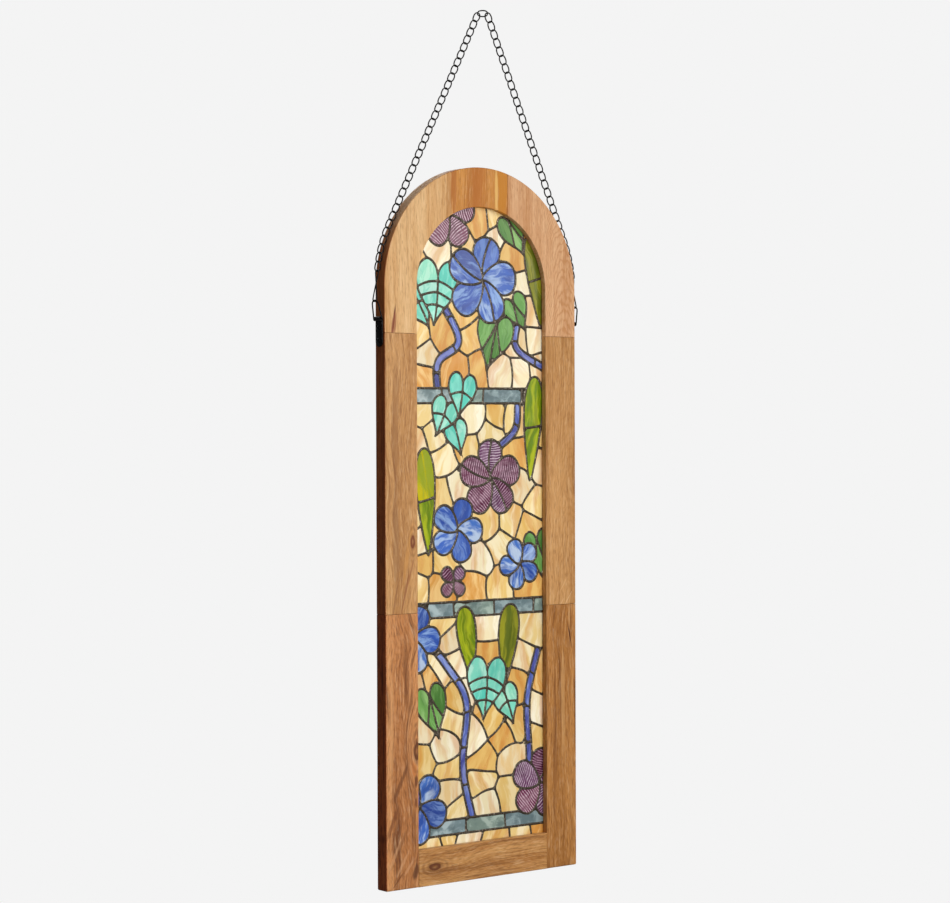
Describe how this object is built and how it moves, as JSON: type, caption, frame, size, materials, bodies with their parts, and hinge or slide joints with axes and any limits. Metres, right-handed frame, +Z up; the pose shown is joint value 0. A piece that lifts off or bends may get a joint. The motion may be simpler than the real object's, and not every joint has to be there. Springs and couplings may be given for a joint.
{
  "type": "stained glass window panel",
  "caption": "Tall arched stained glass panel with a blossom and leaf design in a light wooden frame, hung by side straps from one steel chain.",
  "frame": {"origin": "the point of the chain's top link that rests on the wall hook, in the frame's mid plane", "axes": "+X along the panel's width, to the right seen from the front; -Y the way the front faces; +Z up"},
  "size_m": [0.3358, 0.0196, 1.1183],
  "materials": {
    "tan_wood": "satin varnish",
    "solder": "dark patina, slightly shiny",
    "black_steel": "black, satin",
    "cream": "streaky opalescent",
    "blue": "streaky opalescent",
    "teal": "streaky opalescent",
    "green": "streaky opalescent",
    "lime": "streaky opalescent",
    "plum": "streaky opalescent",
    "indigo": "streaky opalescent",
    "slate": "mottled opalescent"
  },
  "bodies": {
    "root": {"arch_left": "tan_wood", "arch_right": "tan_wood", "bar_low": "slate", "bar_middle": "slate", "bar_top_1": "slate", "bar_top_2": "slate", "blossom_blue_arch": "blue", "blossom_blue_foot": "blue", "blossom_blue_left": "blue", "blossom_plum_bud": "plum", "blossom_plum_crown": "plum", "bottom_rail": "tan_wood", "chain": "black_steel", "ground_glass_1": "cream", "ground_glass_10": "cream", "ground_glass_11": "cream", "ground_glass_2": "cream", "ground_glass_3": "cream", "ground_glass_4": "cream", "ground_glass_5": "cream", "ground_glass_6": "cream", "ground_glass_7": "cream", "ground_glass_8": "cream", "ground_glass_9": "cream", "hanger_left": "black_steel", "hanger_right": "black_steel", "hook_left": "black_steel", "hook_right": "black_steel", "leaf_green_low": "green", "leaves_teal_low": "teal", "leaves_teal_middle": "teal", "long_leaf_left": "lime", "long_leaf_lime": "lime", "long_leaf_olive": "lime", "long_leaf_right": "lime", "ring_left": "black_steel", "ring_right": "black_steel", "screw_left_lower": "black_steel", "screw_left_upper": "black_steel", "screw_right_lower": "black_steel", "screw_right_upper": "black_steel", "solder_net": "solder", "spray_arch_left": "teal", "spray_arch_right": "green", "spray_crown_1": "green", "spray_crown_2": "green", "spray_low_left": "blue", "spray_low_right": "plum", "spray_middle": "plum", "spray_right": "blue", "stile_lower_left": "tan_wood", "stile_lower_right": "tan_wood", "stile_upper_left": "tan_wood", "stile_upper_right": "tan_wood"}
  },
  "joints": []
}
